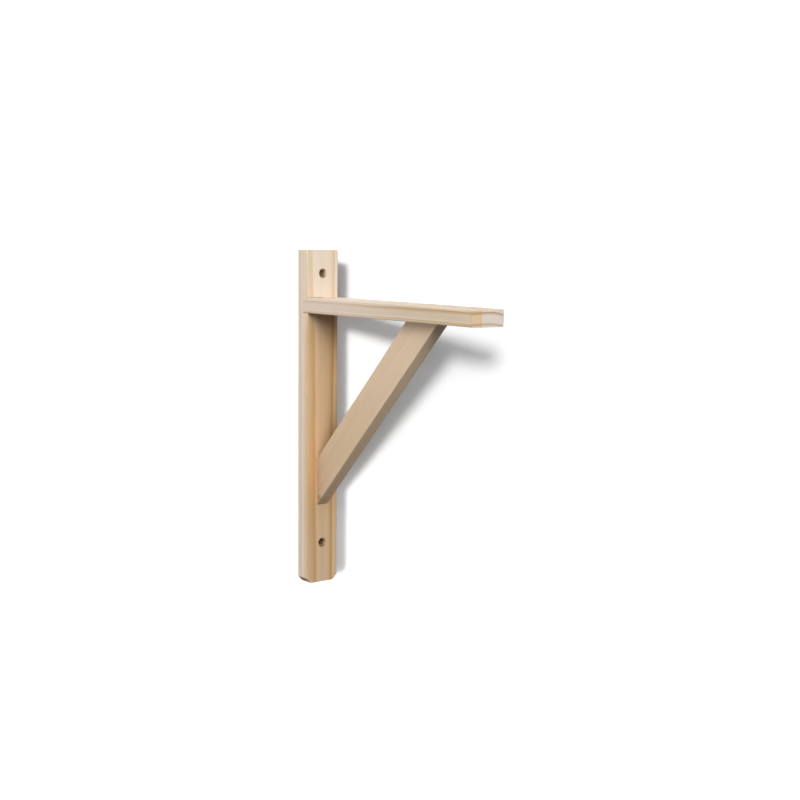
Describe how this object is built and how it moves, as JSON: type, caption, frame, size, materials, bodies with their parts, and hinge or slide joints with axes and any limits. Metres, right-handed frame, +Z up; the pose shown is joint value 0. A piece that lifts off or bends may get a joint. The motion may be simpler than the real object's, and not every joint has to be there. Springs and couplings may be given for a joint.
{
  "type": "wooden shelf bracket",
  "caption": "Pine shelf bracket with a wall upright, a shelf arm housed in it and a diagonal brace on edge; screws to a wall and carries a shelf.",
  "frame": {"origin": "centre of the upright's wall face, level with the arm's top where the shelf rests", "axes": "+Z up, +Y out of the wall face into the wall, so the arm reaches along -Y, +X across the bracket"},
  "size_m": [0.028, 0.2, 0.25],
  "materials": {
    "pine_upright": "planed and sanded, unvarnished",
    "pine_arm": "planed and sanded, unvarnished",
    "pine_brace": "planed and sanded, unvarnished",
    "screw_steel": "zinc plated",
    "beech_dowel": "plain beech"
  },
  "bodies": {
    "root": {"upright": "pine_upright", "arm": "pine_arm", "brace": "pine_brace", "arm_screw_left": "screw_steel", "arm_screw_right": "screw_steel", "brace_foot_screw": "screw_steel", "brace_head_dowel": "beech_dowel"}
  },
  "joints": []
}
